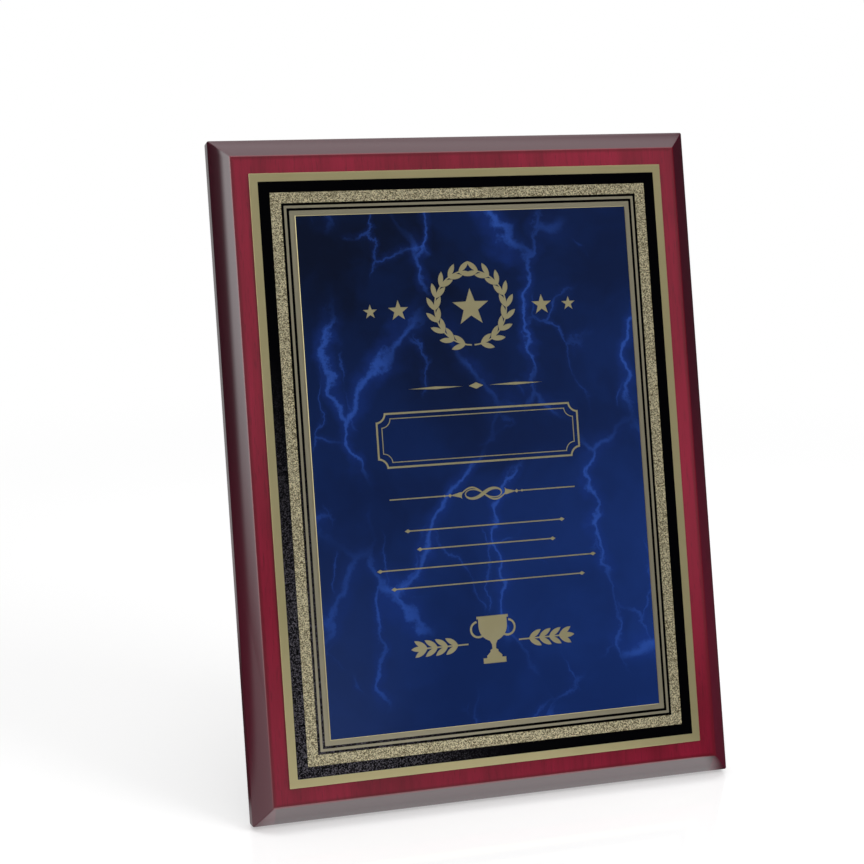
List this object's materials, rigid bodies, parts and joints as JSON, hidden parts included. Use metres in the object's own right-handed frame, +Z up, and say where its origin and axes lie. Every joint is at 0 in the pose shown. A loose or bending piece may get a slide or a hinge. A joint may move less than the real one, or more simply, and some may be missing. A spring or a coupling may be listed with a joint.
{
  "type": "award plaque",
  "caption": "Bevelled lacquered wooden award plaque with a bordered metal plate and a marbled panel, on a folding easel leg, with a keyhole hanger.",
  "frame": {"origin": "middle of the standing plaque's footprint, on the table", "axes": "+Z up, -Y towards the viewer (the plaque's face leans back towards +Y), +X to the viewer's right"},
  "size_m": [0.2276, 0.1227, 0.2957],
  "materials": {
    "lacquered_board": "clear high gloss lacquer",
    "rosewood": "stained rosewood under clear high gloss lacquer",
    "backing": "satin dark lacquer",
    "tape": "double-sided tape",
    "gold_plate": "satin, with an etched frosted band",
    "black_print": "screened black enamel",
    "film": "adhesive film",
    "panel_metal": "satin, bare where the enamel is engraved away",
    "marble_enamel": "marbled royal blue enamel",
    "plated_steel": "brass plated",
    "zinc_steel": "zinc plated",
    "screw_steel": "bright plated",
    "rubber": "moulded"
  },
  "bodies": {
    "plaque": {"board_core": "lacquered_board", "rosewood_veneer": "rosewood", "backing_sheet": "backing", "plate_tape": "tape", "border_plate": "gold_plate", "black_border_print": "black_print", "panel_film": "film", "panel_plate": "panel_metal", "marble_enamel": "marble_enamel", "easel_bracket": "plated_steel", "bracket_screws": "screw_steel", "hinge_pin": "screw_steel", "keyhole_hanger": "zinc_steel", "hanger_screws": "screw_steel", "back_bumpers": "rubber"},
    "leg": {"easel_leg": "plated_steel", "leg_foot": "rubber"}
  },
  "joints": [
    {"name": "leg_fold", "type": "hinge", "parent": "plaque", "child": "leg", "pos_m": [0, 0.00468, 0.1772], "axis": [-1, 0, 0], "range_deg": [0, 31]}
  ]
}
